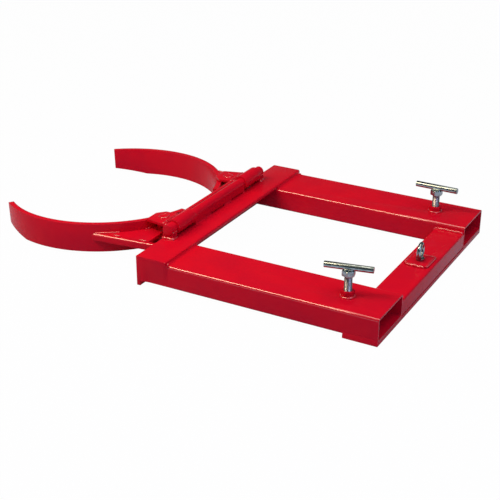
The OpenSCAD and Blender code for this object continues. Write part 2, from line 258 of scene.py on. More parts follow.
@dataclass(frozen=True)
class StudioPaper:
    """Matt white studio paper: it bounces light evenly and keeps only a faint shadow.

    Attributes:
        name: The material's name.
        white: Colour of the light that the paper bounces, faintly cool.
        keep: Share of plain white that a direct look shows.
        mirrored: Share of plain white that a reflection shows.
    """

    name: str = "studio_paper"
    white: str = "#B8C2EC"
    keep: float = 0.985
    mirrored: float = 0.34

    def build(self) -> bpy.types.Material:
        """Makes the material."""
        material, tree = new_material(self.name)
        matt = add_node(tree, "ShaderNodeBsdfDiffuse", {"Color": linear(self.white)})
        glow = add_node(tree, "ShaderNodeEmission", {"Color": grey(1.0), "Strength": 1.0})
        path = add_node(tree, "ShaderNodeLightPath")
        looked = add_node(tree, "ShaderNodeMath", {"operation": "MAXIMUM"},
                          {0: path.outputs["Is Camera Ray"], 1: path.outputs["Is Transmission Ray"]})
        direct = add_node(tree, "ShaderNodeMath", {"operation": "MULTIPLY", 1: self.keep},
                          {0: looked.outputs[0]})
        share = add_node(tree, "ShaderNodeMath", {"operation": "MULTIPLY_ADD", 1: self.mirrored},
                         {0: path.outputs["Is Glossy Ray"], 2: direct.outputs[0]})
        mixed = add_node(tree, "ShaderNodeMixShader", links={0: share.outputs[0], 1: matt.outputs[0],
                                                             2: glow.outputs[0]})
        add_node(tree, "ShaderNodeOutputMaterial", links={"Surface": mixed.outputs[0]})
        return material


@dataclass(frozen=True)
class Finishes:
    """The finished materials, made once and shared by all pieces.

    Attributes:
        enamel: Enamel on flat faces.
        edge: Enamel on upper edges.
        weld: Enamel on weld beads.
        zinc: Zinc on the tee bars, heads, pads and eye.
        thread: Zinc on the screws' threads.
    """

    enamel: bpy.types.Material
    edge: bpy.types.Material
    weld: bpy.types.Material
    zinc: bpy.types.Material
    thread: bpy.types.Material

    @classmethod
    def make(cls) -> "Finishes":
        """Builds every material."""
        return cls(
            enamel=GlossEnamel().build(),
            # Spray runs off an upper edge and straps rub it, so it is the smoothest and brightest line.
            edge=GlossEnamel(name="enamel_on_edge", roughness=0.10, gloss=1.0, wet=1.0,
                             peel_depth=0.000001).build(),
            # The coat pools in a weld's ripples and shines more than on the flat.
            weld=GlossEnamel(name="enamel_on_weld", roughness=0.14, gloss=1.0, wet=1.0, peel_mm=3.0,
                             peel_depth=0.0001, flow_mm=12.0).build(),
            zinc=BrightZinc().build(),
            # A cut thread scatters light, and its zinc is thinner and greyer.
            thread=BrightZinc(name="zinc_on_thread", colour="#B4BABC", dull="#7E8688",
                              roughness=0.38).build(),
        )

    def of(self, slot: Slot) -> bpy.types.Material:
        """The plain material of a record slot."""
        return self.enamel if slot is Slot.ENAMEL else self.zinc


# ------------------------------------------------------------------- shapes


def smooth(mesh: bpy.types.Mesh, angle: float = 32.0) -> None:
    """Shades a mesh smooth, with sharp edges where it bends by more than an angle in degrees."""
    mesh.polygons.foreach_set("use_smooth", [True] * len(mesh.polygons))
    mesh.set_sharp_from_angle(angle=math.radians(angle))


def make_piece(name: str, shape: bmesh.types.BMesh, material: bpy.types.Material, body: str,
               stands_for: Sequence[str] = (), angle: float = 32.0,
               edge: bpy.types.Material | None = None) -> bpy.types.Object:
    """Turns a finished shape into a piece of the grab.

    Args:
        name: The piece's name.
        shape: Its mesh, which this call frees.
        material: Its material.
        body: The CAD body that it rides on.
        stands_for: The CAD nodes that it replaces.
        angle: The bend in degrees past which an edge is shaded sharp.
        edge: The material of faces that eased_copy has marked as upper edges.

    Returns:
        The new object.
    """
    bmesh.ops.recalc_face_normals(shape, faces=shape.faces)
    mesh = bpy.data.meshes.new(name)
    shape.to_mesh(mesh)
    shape.free()
    smooth(mesh, angle)
    mesh.materials.append(material)
    if edge:
        mesh.materials.append(edge)
    piece = bpy.data.objects.new(name, mesh)
    bpy.context.scene.collection.objects.link(piece)
    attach(piece, body)
    if stands_for:
        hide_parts(*stands_for)
    log.info("%s: %d faces on %s", name, len(mesh.polygons), body)
    return piece


def eased_copy(node: str, ease_mm: float, flat: float = 25.0,
               round_corners: bool = False) -> bmesh.types.BMesh:
    """Copies a CAD node's shape and eases its sharp edges.

    Args:
        node: The CAD node.
        ease_mm: Width of the eased edge.
        flat: The bend in degrees under which an edge counts as part of a curve.
        round_corners: Whether the node's own round upper corners count as upper edges too.

    Returns:
        The eased shape.
    """
    shape = bmesh.new()
    shape.from_mesh(frame["nodes"][node].data)
    bmesh.ops.remove_doubles(shape, verts=shape.verts, dist=0.002 * MM)
    bmesh.ops.dissolve_limit(shape, angle_limit=math.radians(0.5), verts=shape.verts, edges=shape.edges)
    sharp = [e for e in shape.edges
             if len(e.link_faces) == 2 and e.calc_face_angle(0) > math.radians(flat)]
    if sharp and ease_mm:
        bevel = bmesh.ops.bevel(shape, geom=sharp, offset=ease_mm * MM, offset_type="OFFSET", segments=2,
                                profile=0.7, affect="EDGES", clamp_overlap=False, loop_slide=False)
        for face in bevel["faces"]:
            face.normal_update()
            face.material_index = int(face.normal.z > 0.25)
    if round_corners:
        for face in shape.faces:
            face.normal_update()
            if 0.2 < face.normal.z < 0.97 and abs(face.normal.x) < 0.5:
                face.material_index = 1
    return shape


@dataclass
class WeldBead:
    """A run of weld metal with the scalloped ripples that each pool of the arc leaves.

    Attributes:
        path: Points that the bead's centre follows, in metres.
        radius_mm: Half its width.
        ripple_mm: Distance from one ripple to the next.
        rough: How uneven the bead is, from 0 for machine welding to 1 for a lumpy hand weld.
        flat: Height of the section as a share of its width.
        seed: Seed of its unevenness.
        closed: Whether the bead runs all the way round.
        sides: Number of facets round the section.
    """

    path: Sequence[Vector]
    radius_mm: float = 4.0
    ripple_mm: float = 4.0
    rough: float = 0.4
    flat: float = 1.0
    seed: int = 1
    closed: bool = False
    sides: int = field(default=12, repr=False)

    def _stations(self) -> list[tuple[Vector, Vector, float]]:
        """Points along the bead with their directions and distances from its start."""
        points = [Vector(p) for p in self.path]
        if self.closed:
            points.append(points[0].copy())
        step = self.ripple_mm * MM / 5
        out: list[tuple[Vector, Vector, float]] = []
        gone = 0.0
        for a, b in zip(points, points[1:]):
            length = (b - a).length
            count = max(1, round(length / step))
            for i in range(count):
                share = i / count
                out.append((a.lerp(b, share), (b - a).normalized(), gone + length * share))
            gone += length
        if not self.closed:
            out.append((points[-1], (points[-1] - points[-2]).normalized(), gone))
        return out

    def shape(self) -> bmesh.types.BMesh:
        """Sweeps the rippled section along the path, as a closed skin."""
        chance = random.Random(self.seed)
        stations = self._stations()
        total = stations[-1][2]
        pools = int(total / (self.ripple_mm * MM)) + 3
        swell = [1 + self.rough * chance.uniform(-0.22, 0.22) for _ in range(pools)]
        drift = [Vector([chance.uniform(-0.12, 0.12) for _ in range(3)]) * self.rough for _ in range(pools)]
        lead = self.radius_mm * MM
        mesh = bmesh.new()
        rings = []
        for centre, along, gone in stations:
            pool, phase = divmod(gone / (self.ripple_mm * MM), 1.0)
            i = min(int(pool), pools - 2)
            size = swell[i] * (1 - phase) + swell[i + 1] * phase
            size *= 0.86 + 0.17 * math.sqrt(max(0.0, 1 - (2 * phase - 1) ** 2))
            if not self.closed:
                near = min(gone, total - gone) / lead
                size *= math.sqrt(max(0.04, 1 - (1 - min(1.0, near)) ** 2))
            off = drift[i] * (1 - phase) + drift[i + 1] * phase
            side = along.cross(Vector((0, 0, 1)))
            side = side.normalized() if side.length > 0.1 else along.cross(Vector((0, 1, 0))).normalized()
            rise = side.cross(along).normalized()
            radius = self.radius_mm * MM * size
            middle = centre + off * self.radius_mm * MM
            ring = []
            for k in range(self.sides):
                turn = 2 * math.pi * k / self.sides
                ring.append(mesh.verts.new(middle + side * math.cos(turn) * radius
                                           + rise * math.sin(turn) * radius * self.flat))
            rings.append(ring)
        skin_rings(mesh, rings, self.closed)
        return mesh


def skin_rings(mesh: bmesh.types.BMesh, rings: list[list[bmesh.types.BMVert]], closed: bool = False) -> None:
    """Skins a row of equal rings of points, and caps both ends unless the row closes on itself.

    Args:
        mesh: The shape that holds the points.
        rings: The rings, in order.
        closed: Whether the last ring joins the first one.
    """
    pairs = list(zip(rings, rings[1:]))
    if closed:
        pairs.append((rings[-1], rings[0]))
    sides = len(rings[0])
    for low, high in pairs:
        for k in range(sides):
            m = (k + 1) % sides
            mesh.faces.new((low[k], low[m], high[m], high[k]))
    if not closed:
        mesh.faces.new(rings[0][::-1])
        mesh.faces.new(rings[-1])


def prism(outline: Sequence[Vector], ends: Sequence[Vector]) -> bmesh.types.BMesh:
    """Makes a closed prism.

    Args:
        outline: The corners of its section, as steps from each end.
        ends: The two points that the section is set on.

    Returns:
        The prism.
    """
    mesh = bmesh.new()
    skin_rings(mesh, [[mesh.verts.new(end + step) for step in outline] for end in ends])
    return mesh


def ease(share: float) -> float:
    """A smooth step from 0 to 1."""
    share = min(1.0, max(0.0, share))
    return share * share * (3 - 2 * share)


def close_grids(mesh: bmesh.types.BMesh, front: list[list[bmesh.types.BMVert]],
                back: list[list[bmesh.types.BMVert]]) -> None:
    """Skins two equal grids of points and closes the strip between their rims.

    Args:
        mesh: The shape that holds the points.
        front: Columns of points on the front.
        back: The matching columns on the back.
    """
    columns, rows = len(front) - 1, len(front[0]) - 1
    for i in range(columns):
        for j in range(rows):
            mesh.faces.new((front[i][j], front[i + 1][j], front[i + 1][j + 1], front[i][j + 1]))
            mesh.faces.new((back[i][j], back[i][j + 1], back[i + 1][j + 1], back[i + 1][j]))
    rim = [(i, 0) for i in range(columns)] + [(columns, j) for j in range(rows)]
    rim += [(i, rows) for i in range(columns, 0, -1)] + [(0, j) for j in range(rows, 0, -1)]
    for (a, b), (c, d) in zip(rim, rim[1:] + rim[:1]):
        mesh.faces.new((front[a][b], back[a][b], back[c][d], front[c][d]))


def fillet(start: Vector, end: Vector, out: Vector, up: Vector, foot_mm: float, rise_mm: float,
           hollow: float = 1.0) -> bmesh.types.BMesh:
    """Makes a smooth fillet in the corner between an upright face and a flat one.

    Args:
        start: One end of the corner.
        end: Its other end.
        out: Unit vector along the flat face, away from the upright one.
        up: Unit vector up the upright face.
        foot_mm: Width of the fillet on the flat face.
        rise_mm: Its height on the upright face.
        hollow: 1 for a full quarter-round hollow, 0 for a flat slope.

    Returns:
        The closed fillet.
    """
    bite = FILLET_BITE_MM * MM
    path = [-out * bite - up * bite, -out * bite + up * rise_mm * MM]
    for k in range(FILLET_STEPS + 1):
        share = k / FILLET_STEPS
        turn = math.radians(90 * share)
        along = hollow * (1 - math.cos(turn)) + (1 - hollow) * share
        fall = hollow * (1 - math.sin(turn)) + (1 - hollow) * (1 - share)
        path.append(out * (0.1 + foot_mm * along) * MM + up * (0.05 + rise_mm * fall) * MM)
    path.append(out * foot_mm * MM - up * bite)
    return prism(path, (start, end))


def arc_points(centre: Vector, radius: float, start: float, end: float, across: Vector, up: Vector,
               count: int = 24) -> list[Vector]:
    """Points on an arc.

    Args:
        centre: The arc's centre.
        radius: Its radius.
        start: First angle in degrees, from the across direction towards the up direction.
        end: Last angle in degrees.
        across: Unit vector at angle 0.
        up: Unit vector at 90 degrees.
        count: Number of stretches.

    Returns:
        The points, first to last.
    """
    turns = [math.radians(start + (end - start) * i / count) for i in range(count + 1)]
    return [centre + (across * math.cos(t) + up * math.sin(t)) * radius for t in turns]


def lathe(profile: Sequence[tuple[float, float]], place: Matrix, sides: int = 64) -> bmesh.types.BMesh:
    """Turns a profile round the local Z axis into a closed solid.

    Args:
        profile: Radius and height of each point, from the bottom's centre to the top's centre.
        place: Where the local axes lie.
        sides: Number of facets round the axis.

    Returns:
        The turned shape.
    """
    mesh = bmesh.new()
    rings = []
    for radius, height in profile[1:-1]:
        rings.append([mesh.verts.new(place @ Vector((radius * math.cos(2 * math.pi * k / sides),
                                                     radius * math.sin(2 * math.pi * k / sides), height)))
                      for k in range(sides)])
    ends = [mesh.verts.new(place @ Vector((0, 0, h))) for _, h in (profile[0], profile[-1])]
    for low, high in zip(rings, rings[1:]):
        for k in range(sides):
            m = (k + 1) % sides
            mesh.faces.new((low[k], low[m], high[m], high[k]))
    for k in range(sides):
        m = (k + 1) % sides
        mesh.faces.new((ends[0], rings[0][m], rings[0][k]))
        mesh.faces.new((ends[1], rings[-1][k], rings[-1][m]))
    return mesh


def joined(*shapes: bmesh.types.BMesh) -> bmesh.types.BMesh:
    """Gathers several shapes into one and frees them."""
    whole = bmesh.new()
    for shape in shapes:
        part = bpy.data.meshes.new("part")
        shape.to_mesh(part)
        shape.free()
        whole.from_mesh(part)
        bpy.data.meshes.remove(part)
    return whole


@dataclass(frozen=True)
class LocalFrame:
    """The carriage's own axes: X and Z measured from the hinge axle, tilted as the carriage hangs.

    Attributes:
        place: The turn and shift from these axes to the frame's.
    """

    place: Matrix

    @classmethod
    def of_carriage(cls) -> "LocalFrame":
        """Reads the axes from the record's joints."""
        joints = {j["name"]: j for j in frame["joints"]}
        up = Vector(joints["left_jaw_swing"]["axis"]).normalized()
        right = Vector((0, 1, 0))
        back = right.cross(up)
        turn = Matrix((back, right, up)).transposed().to_4x4()
        return cls(Matrix.Translation(Vector(joints["carriage_tilt"]["pos_m"])) @ turn)

    def point(self, x_mm: float, y_mm: float, z_mm: float) -> Vector:
        """A point given in millimetres in these axes."""
        return self.place @ Vector((x_mm * MM, y_mm * MM, z_mm * MM))

    def box(self, node: str) -> tuple[Vector, Vector]:
        """Measures a CAD node along these axes.

        Args:
            node: The CAD node.

        Returns:
            Its lowest and highest corner, in millimetres.
        """
        inverse = self.place.inverted()
        points = [inverse @ v.co for v in frame["nodes"][node].data.vertices]
        low = Vector([min(p[i] for p in points) for i in range(3)]) / MM
        high = Vector([max(p[i] for p in points) for i in range(3)]) / MM
        return low, high


# ------------------------------------------------------------ sub-assemblies


@dataclass
class SteelWork:
    """A group of painted steel pieces that are welded together on one CAD body.

    Attributes:
        finishes: The shared materials.
    """

    finishes: Finishes

    @property
    def body(self) -> str:
        """The CAD body that the group rides on."""
        return "frame"

    def steel(self, node: str, ease_mm: float, bright_edges: bool = True,
              round_corners: bool = False) -> None:
        """Finishes one piece of steel: its edges are eased and it is painted.

        Args:
            node: The CAD node that it stands for.
            ease_mm: Width of its eased edges.
            bright_edges: Whether its upper edges shine.
            round_corners: Whether its own round upper corners shine too.
        """
        edge = self.finishes.edge if bright_edges else self.finishes.enamel
        make_piece(f"{node}_steel", eased_copy(node, ease_mm, round_corners=round_corners),
                   self.finishes.enamel, self.body, [node], edge=edge)

    def filler(self, name: str, shape: bmesh.types.BMesh, angle: float = 32.0) -> None:
        """Makes a painted piece of filler or smooth weld.

        Args:
            name: The piece's name.
            shape: Its shape.
            angle: The bend in degrees past which an edge is shaded sharp.
        """
        make_piece(name, shape, self.finishes.enamel, self.body, angle=angle)

    def weld(self, name: str, bead: WeldBead) -> None:
        """Runs one painted weld bead."""
        make_piece(name, bead.shape(), self.finishes.weld, self.body, angle=WELD_ANGLE)


@dataclass
class PocketFrame(SteelWork):
    """The welded frame: two fork pockets, the front angle, the rear plate and the cross tube.

    Attributes:
        ease_mm: Width of the eased edges of plates and tubes.
        round_mm: How far the pocket's round upper corners reach in from its sides.
        toe_foot_mm: Width of the fillet along the angle's toe.
        toe_rise_mm: Height of that fillet.
    """

    ease_mm: float = 0.9
    round_mm: float = 7.0
    toe_foot_mm: float = 9.0
    toe_rise_mm: float = 8.6

    def build(self) -> None:
        """Makes the frame's pieces and its welds."""
        for node in ("left_fork_pocket", "right_fork_pocket", "rear_plate", "rear_cross_tube", "front_angle"):
            self.steel(node, self.ease_mm, round_corners="pocket" in node)
        for side in Side:
            self._toe_welds(side)
            self._end_filler(side)
            self._tube_welds(side)
            self._plate_filler(side)

    def _pocket_sides(self, side: Side) -> tuple[float, float]:
        """Y of a pocket's outer face and of its inner one."""
        low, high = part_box(f"{side.word}_fork_pocket")
        return (low.y, high.y) if side is Side.LEFT else (high.y, low.y)

    def _toe_welds(self, side: Side) -> None:
        """Lays the fillet along the angle's rear toe, across the pocket, with a blob where the run ends.

        Args:
            side: The side of the grab that it is on.
        """
        outer, inner = self._pocket_sides(side)
        s, top, toe = side.value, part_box(f"{side.word}_fork_pocket")[1].z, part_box("front_angle")[1].x
        round_in = self.round_mm * MM
        self.filler(f"{side.word}_toe_fillet", fillet(
            Vector((toe, outer - s * round_in, top)), Vector((toe, inner + s * round_in, top)),
            Vector((1, 0, 0)), Vector((0, 0, 1)), self.toe_foot_mm, self.toe_rise_mm), angle=45)
        blob = [Vector((toe + 1 * MM, outer - s * (round_in - 5 * MM), top + 1 * MM)),
                Vector((toe + 1 * MM, outer - s * (round_in + 3 * MM), top + 2 * MM))]
        self.weld(f"{side.word}_toe_blob",
                  WeldBead(blob, radius_mm=3.6, ripple_mm=4.0, rough=0.6, seed=11 + s))

    def _tube_welds(self, side: Side) -> None:
        """Welds the cross tube to the pocket's inner wall: a heavy run on top and a light one in front.

        Args:
            side: The side of the grab that it is on.
        """
        inner = self._pocket_sides(side)[1]
        low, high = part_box("rear_cross_tube")
        s = side.value
        top = [Vector((x, inner - s * 1 * MM, high.z + 0.5 * MM)) for x in (low.x + 2 * MM, high.x - 2 * MM)]
        self.weld(f"{side.word}_tube_weld",
                  WeldBead(top, radius_mm=4.2, ripple_mm=6.0, rough=0.9, seed=31 + s))
        front = [Vector((low.x, inner, z)) for z in (high.z, low.z + 2 * MM)]
        self.weld(f"{side.word}_tube_front_weld",
                  WeldBead(front, radius_mm=2.4, ripple_mm=4.0, rough=0.5, seed=41 + s))

    def _end_filler(self, side: Side) -> None:
        """Lays the ground-flush filler that carries the angle's end over onto the pocket's side.

        Args:
            side: The side of the grab that it is on.
        """
        pocket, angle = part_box(f"{side.word}_fork_pocket"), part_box("front_angle")
        outer = self._pocket_sides(side)[0]
        s = side.value
        out = angle[0].y if side is Side.LEFT else angle[1].y
        top = pocket[1].z
        low_x, high_x = pocket[0].x - 0.5 * MM, angle[1].x + 8 * MM
        low_z, high_z = pocket[0].z + 3 * MM, top + 0.5 * MM
        columns, rows = 40, 26
        mesh = bmesh.new()
        face, back = [], []
        for i in range(columns + 1):
            x = low_x + (high_x - low_x) * i / columns
            front = 1 - ease((x - low_x) / (30 * MM))
            toe = 1 - ease((x - angle[1].x + 7 * MM) / (14 * MM))
            heights = [low_z + (high_z - low_z) * j / rows for j in range(rows + 1)]
            line = []
            for z in heights:
                under = ease(1 - (top - z) / (high_z - low_z)) * toe
                share = front + under - front * under
                sunk = 0.25 * MM if share < 0.02 else 0.1 * MM
                line.append(mesh.verts.new(Vector((x, outer + (out - outer) * share - s * sunk, z))))
            face.append(line)
            back.append([mesh.verts.new(Vector((x, outer - s * 2 * MM, z))) for z in heights])
        close_grids(mesh, face, back)
        self.filler(f"{side.word}_angle_end_filler", mesh)

    def _plate_filler(self, side: Side) -> None:
        """Lays the filler that brings the pocket's round lower corner flush with the plate under it.

        Args:
            side: The side of the grab that it is on.
        """
        outer, s = self._pocket_sides(side)[0], side.value
        low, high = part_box("rear_plate")
        face, inside = outer - s * 0.1 * MM, outer - s * 4.5 * MM
        foot, top = high.z - 1 * MM, high.z + 8.5 * MM
        shoulder = outer - s * 0.6 * MM
        corners = [(face, foot), (face, top - 1 * MM), (shoulder, top), (inside, top), (inside, foot)]
        ends = [Vector((x, 0, 0)) for x in (low.x + 0.6 * MM, high.x - 0.3 * MM)]
        self.filler(f"{side.word}_plate_filler", prism([Vector((0, y, z)) for y, z in corners], ends))


@dataclass
class HingeAxle(SteelWork):
    """The axle with its packing strip and end blocks, and the welds and fills that hold them.

    Attributes:
        fills_mm: End of each stretch of the fill behind the packing strip, measured across the grab, and
            the height of the slit under it.
        bite_mm: How far a fill reaches into the strip.
    """

    fills_mm: Sequence[tuple[float, float]] = ((-54, 0), (17, 3.4), (58, 0), (126, 3.4), (135, 0))
    bite_mm: float = 1.4

    def build(self) -> None:
        """Makes the axle, its supports and their welds."""
        for node, ease_mm in (("hinge_axle", 1.2), ("axle_packing", 0.6), ("left_axle_block", 1.0),
                              ("right_axle_block", 1.0)):
            self.steel(node, ease_mm, bright_edges=False)
        for side in Side:
            self._block_welds(side)
        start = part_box("axle_packing")[0].y / MM + 1
        for number, (end, lift) in enumerate(self.fills_mm, 1):
            self._side_fill(number, start, end, lift)
            start = end
        self._front_seam()

    def _block_welds(self, side: Side) -> None:
        """Runs a lumpy weld round the foot of an end block, and a pool in each corner under the axle.

        Args:
            side: The side of the grab that it is on.
        """
        low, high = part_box(f"{side.word}_axle_block")
        out, back = (low.y, high.y) if side is Side.LEFT else (high.y, low.y)
        foot = low.z + 1 * MM
        path = [Vector((x, y, foot)) for x, y in ((low.x, back), (low.x, out), (high.x, out), (high.x, back))]
        self.weld(f"{side.word}_block_weld",
                  WeldBead(path, radius_mm=4.4, ripple_mm=7.0, rough=1.0, seed=61 + side.value))
        for name, x in (("front", low.x + 1 * MM), ("rear", high.x - 1 * MM)):
            pool = [Vector((x, out - side.value * 2 * MM, high.z)), Vector((x, back, high.z))]
            self.weld(f"{side.word}_cradle_weld_{name}",
                      WeldBead(pool, radius_mm=2.6, ripple_mm=5.0, rough=0.6, seed=71 + side.value))

    def _side_fill(self, number: int, start_mm: float, end_mm: float, lift_mm: float) -> None:
        """Fills the corner behind the packing strip, flush with the axle's rear side.

        Args:
            number: Number of the stretch.
            start_mm: Its start across the grab.
            end_mm: Its end across the grab.
            lift_mm: Height of the dark slit left open under it, 0 where a stitch closes it.
        """
        low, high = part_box("axle_packing")
        axle_low, axle_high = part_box("hinge_axle")
        inner, outer = high.x / MM - self.bite_mm, axle_high.x / MM - 0.25
        foot, top = low.z / MM + lift_mm, (axle_low.z + axle_high.z) / 2 / MM
        path = [(inner, foot), (inner, top), (outer, top), (outer, foot + 4.0)]
        if lift_mm:
            path += [(outer - 0.3, foot + 0.5), (outer - 1.0, foot)]
        else:
            path += [(outer + 0.5, foot + 1.8), (outer + 1.8, foot + 0.5), (outer + 4.0, foot - 0.4),
                     (outer, foot - 1.0)]
        ends = [Vector((0, y * MM, 0)) for y in (start_mm, end_mm)]
        shape = prism([Vector((x * MM, 0, z * MM)) for x, z in path], ends)
        self.filler(f"axle_fill_{number}", shape, angle=50)

    def _front_seam(self) -> None:
        """Lays the smooth fillet between the front of the packing strip and the flange."""
        low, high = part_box("axle_packing")
        rise = (high.z - low.z) / MM - 1.6
        shape = fillet(Vector((low.x, low.y + 1 * MM, low.z)), Vector((low.x, high.y - 1 * MM, low.z)),
                       Vector((-1, 0, 0)), Vector((0, 0, 1)), 9.0, rise, hollow=0.25)
        self.filler("packing_fillet_front", shape, angle=45)


@dataclass
class ClampScrew(SteelWork):
    """One tee-handled clamp screw with its welded nut and pressure pad.

    Attributes:
        side: The side of the grab that it is on.
        radius_mm: Radius of the thread.
        pitch_mm: Pitch of the thread.
        depth_mm: Depth of the thread.
        nose_mm: Length of the plain nose that turns in the pad.
        head_mm: Height of the hexagon head.
        flats_mm: Width of the head across its flats.
        splay_mm: Width of the tee bar's box that doesn't come from its turn.
    """

    side: Side
    radius_mm: float = 10.0
    pitch_mm: float = 2.5
    depth_mm: float = 1.1
    nose_mm: float = 6.0
    head_mm: float = 14.0
    flats_mm: float = 30.0
    splay_mm: float = 16.0

    def build(self) -> None:
        """Makes the nut, the screw, the tee bar and the pad."""
        word = self.side.word
        make_piece(f"{word}_nut_steel", eased_copy(f"{word}_screw_nut", 1.0), self.finishes.enamel, self.body,
                   [f"{word}_screw_nut"], edge=self.finishes.enamel)
        self._nut_weld()
        self._plated(f"{word}_pad_steel", eased_copy(f"{word}_pressure_pad", 0.8), f"{word}_pad",
                     f"{word}_pressure_pad")
        self._screw()
        self._tee_bar()

    def _plated(self, name: str, shape: bmesh.types.BMesh, body: str, node: str) -> None:
        """Makes a zinc-plated piece with eased edges.

        Args:
            name: The piece's name.
            shape: Its shape.
            body: The CAD body that it rides on.
            node: The CAD node that it stands for.
        """
        make_piece(name, shape, self.finishes.zinc, body, [node], edge=self.finishes.zinc)

    def _nut_weld(self) -> None:
        """Runs a lumpy ring of weld round the nut's foot."""
        low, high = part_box(f"{self.side.word}_screw_nut")
        centre = (low + high) / 2
        centre.z = low.z + 0.8 * MM
        radius = (high.x - low.x) / 2 + 1.2 * MM
        ring = arc_points(centre, radius, 0, 352, Vector((1, 0, 0)), Vector((0, 1, 0)), 44)
        self.weld(f"{self.side.word}_nut_weld", WeldBead(
            ring, radius_mm=3.6, ripple_mm=6.5, rough=1.0, seed=100 + self.side.value, closed=True))

    def _screw(self) -> None:
        """Cuts the thread, turns the nose and puts the hexagon head on."""
        word = self.side.word
        low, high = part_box(f"{word}_clamp_screw")
        nut_low, nut_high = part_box(f"{word}_screw_nut")
        bar_low, bar_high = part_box(f"{word}_tee_bar")
        axis = (nut_low + nut_high) / 2
        foot = Vector((axis.x, axis.y, low.z))
        under_head = high.z - self.head_mm * MM
        nose_top = (self.nose_mm + 0.5) * MM
        nose = lathe([(0, 0), (5 * MM, 0), (6 * MM, 1 * MM), (6 * MM, nose_top), (0, nose_top)],
                     Matrix.Translation(foot), 32)
        thread = self._thread(foot, (under_head - low.z) / MM)
        make_piece(f"{word}_screw_thread", joined(thread, nose), self.finishes.thread, f"{word}_screw",
                   angle=50)
        turn = math.atan2(bar_high.y - bar_low.y - self.splay_mm * MM, bar_high.x - bar_low.x)
        self._head(Vector((axis.x, axis.y, under_head)), high.z - under_head, turn)

    def _thread(self, foot: Vector, top_mm: float) -> bmesh.types.BMesh:
        """Cuts the thread as a true helix that fades out at both ends.

        Args:
            foot: Centre of the screw's lower end.
            top_mm: Height of the head's underside over the foot.

        Returns:
            The threaded bar.
        """
        sides, step = 40, self.pitch_mm / 8
        count = int((top_mm - self.nose_mm) / step) + 1
        levels = [self.nose_mm + step * i for i in range(count)] + [top_mm + 1]
        mesh = bmesh.new()
        rings = []
        for height in levels:
            ring = []
            for k in range(sides):
                turn = k / sides
                phase = (height / self.pitch_mm - turn) % 1.0
                cut = abs(2 * phase - 1) * self.depth_mm
                fade = min(1.0, max(0.0, (height - self.nose_mm) / 2), max(0.0, (top_mm - height) / 2))
                radius = (self.radius_mm - cut * fade) * MM
                ring.append(mesh.verts.new(Vector((foot.x + radius * math.cos(2 * math.pi * turn),
                                                   foot.y + radius * math.sin(2 * math.pi * turn),
                                                   foot.z + height * MM))))
            rings.append(ring)
        skin_rings(mesh, rings)
        return mesh

    def _head(self, foot: Vector, height: float, turn: float) -> None:
        """Makes the hexagon head: its corners are turned off to a cone, above and below.

        Args:
            foot: Centre of the head's underside.
            height: Height of the head.
            turn: Turn of its corners, in radians.
        """
        flat_radius = self.flats_mm * MM / 2
        levels = [(0.0, 0.93), (0.9 * MM, 1.0), (height - 1.6 * MM, 1.0), (height, 0.86)]
        count = 48
        mesh = bmesh.new()
        rings = []
        for level, share in levels:
            ring = []
            for k in range(count):
                angle = 2 * math.pi * k / count
                to_flat = flat_radius / math.cos((angle + math.pi / 6) % (math.pi / 3) - math.pi / 6)
                radius = min(to_flat, flat_radius / math.cos(math.pi / 6) * share)
                ring.append(mesh.verts.new(foot + Vector((radius * math.cos(angle + turn),
                                                          radius * math.sin(angle + turn), level))))
            rings.append(ring)
        skin_rings(mesh, rings)
        word = self.side.word
        make_piece(f"{word}_screw_head", mesh, self.finishes.zinc, f"{word}_screw",
                   [f"{word}_clamp_screw"], angle=25)

    def _tee_bar(self) -> None:
        """Makes the round tee bar with broken end edges, and the welds that hold it to the head."""
        word = self.side.word
        node = f"{word}_tee_bar"
        self._plated(f"{node}_steel", eased_copy(node, 1.3), f"{word}_screw", node)
        low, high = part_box(node)
        centre = (low + high) / 2
        turn = self._bar_turn()
        along = Vector((math.cos(turn), math.sin(turn), 0))
        across = Vector((-along.y, along.x, 0))
        for sign, name in ((1, "a"), (-1, "b")):
            middle = centre + across * sign * 6.4 * MM + Vector((0, 0, -5.6 * MM))
            path = [middle - along * 11 * MM, middle + along * 11 * MM]
            bead = WeldBead(path, radius_mm=2.6, ripple_mm=4.0, rough=0.6, seed=110 + sign + self.side.value)
            make_piece(f"{word}_bar_weld_{name}", bead.shape(), self.finishes.zinc, f"{word}_screw",
                       angle=WELD_ANGLE)

    def _bar_turn(self) -> float:
        """The tee bar's turn from straight along the pocket, in radians."""
        vertices = frame["nodes"][f"{self.side.word}_tee_bar"].data.vertices
        far = max(vertices, key=lambda v: v.co.x).co
        near = min(vertices, key=lambda v: v.co.x).co
        ends = [[v.co for v in vertices if abs(v.co.x - e.x) < 6 * MM] for e in (near, far)]
        centres = [sum(e, Vector()) / len(e) for e in ends]
        span = centres[1] - centres[0]
        return math.atan2(span.y, span.x)


@dataclass
class SafetyEye(SteelWork):
    """The standing eye on its pad plate, in the middle of the cross tube."""

    def build(self) -> None:
        """Makes the pad plate, its welds and the eye."""
        self.steel("eye_pad_plate", 0.8, bright_edges=False)
        make_piece("lifting_eye_steel", eased_copy("lifting_eye", 0.8), self.finishes.zinc, self.body,
                   ["lifting_eye"], edge=self.finishes.zinc)
        low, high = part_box("eye_pad_plate")
        z = low.z + 2.2 * MM
        heavy = [Vector((low.x + 2 * MM, low.y, z)), Vector((high.x - 4 * MM, low.y, z))]
        self.weld("pad_weld_left", WeldBead(heavy, radius_mm=4.6, ripple_mm=6.5, rough=1.0, seed=121))
        start = low.y + 4 * MM
        corners = ((high.x, start), (high.x, high.y), (low.x, high.y), (low.x, start))
        rest = [Vector((x, y, z)) for x, y in corners]
        self.weld("pad_weld_rest", WeldBead(rest, radius_mm=3.4, ripple_mm=6.5, rough=0.4, seed=122))


